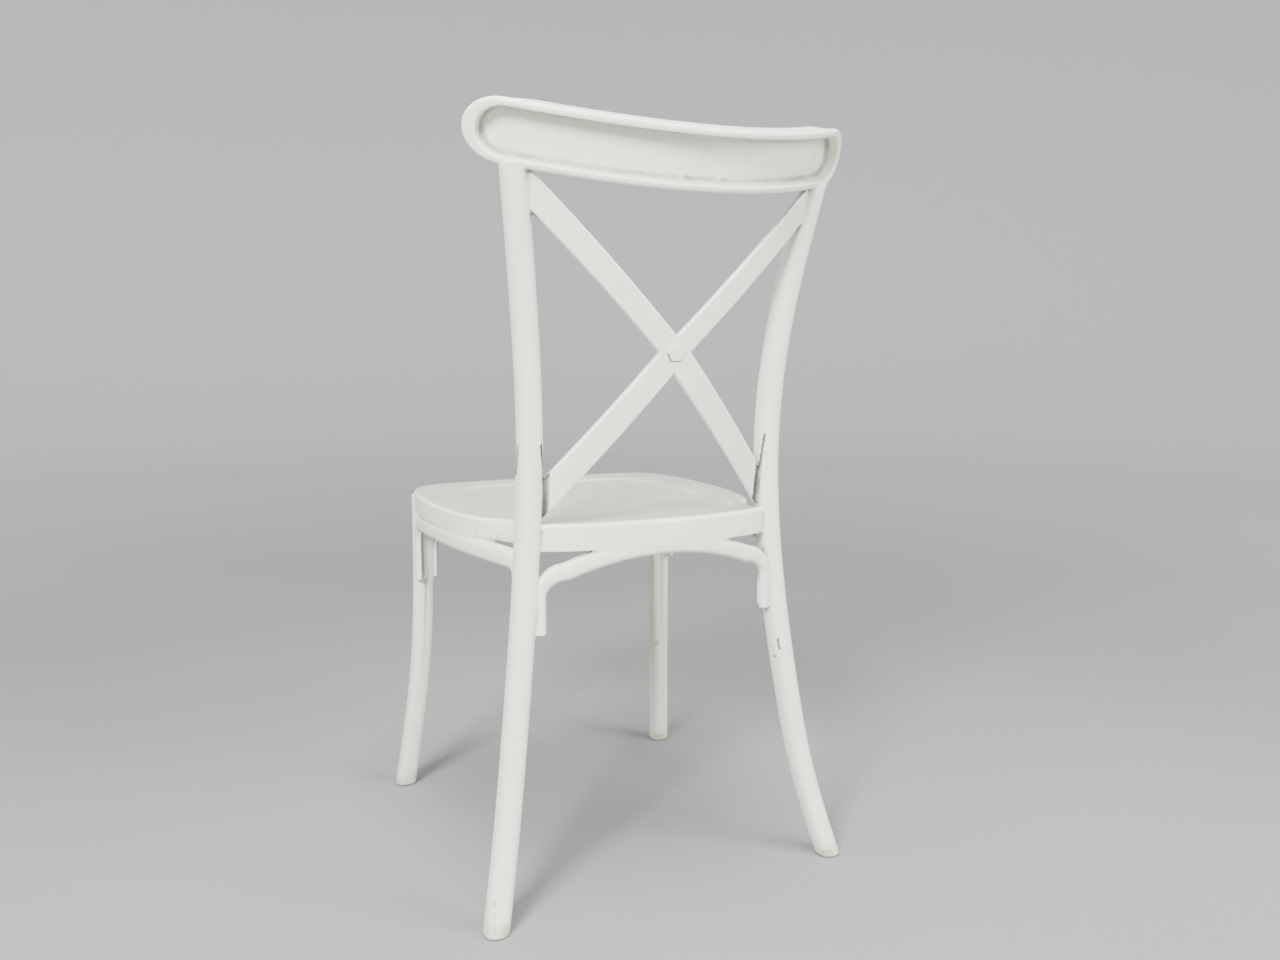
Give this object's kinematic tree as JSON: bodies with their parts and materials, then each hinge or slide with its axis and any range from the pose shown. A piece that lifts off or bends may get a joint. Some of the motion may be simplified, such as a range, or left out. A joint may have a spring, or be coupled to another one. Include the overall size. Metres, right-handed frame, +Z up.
{
  "type": "cross-back chair",
  "caption": "Armless white plastic dining chair with a bent, dished crest rail, flat crossed slats in the back, a shallow-panned seat, bent braces under it and splayed legs.",
  "frame": {"origin": "on the floor, under the middle of the overall width and depth", "axes": "+Z up; -Y is the way the sitter faces, so the back is on the +Y side; +X is the sitter's left"},
  "size_m": [0.4734, 0.5572, 0.903],
  "materials": {
    "white_plastic": "satin off-white moulded plastic, slightly dulled, with grime at the feet"
  },
  "bodies": {
    "root": {"chair_moulding": "white_plastic"}
  },
  "joints": []
}
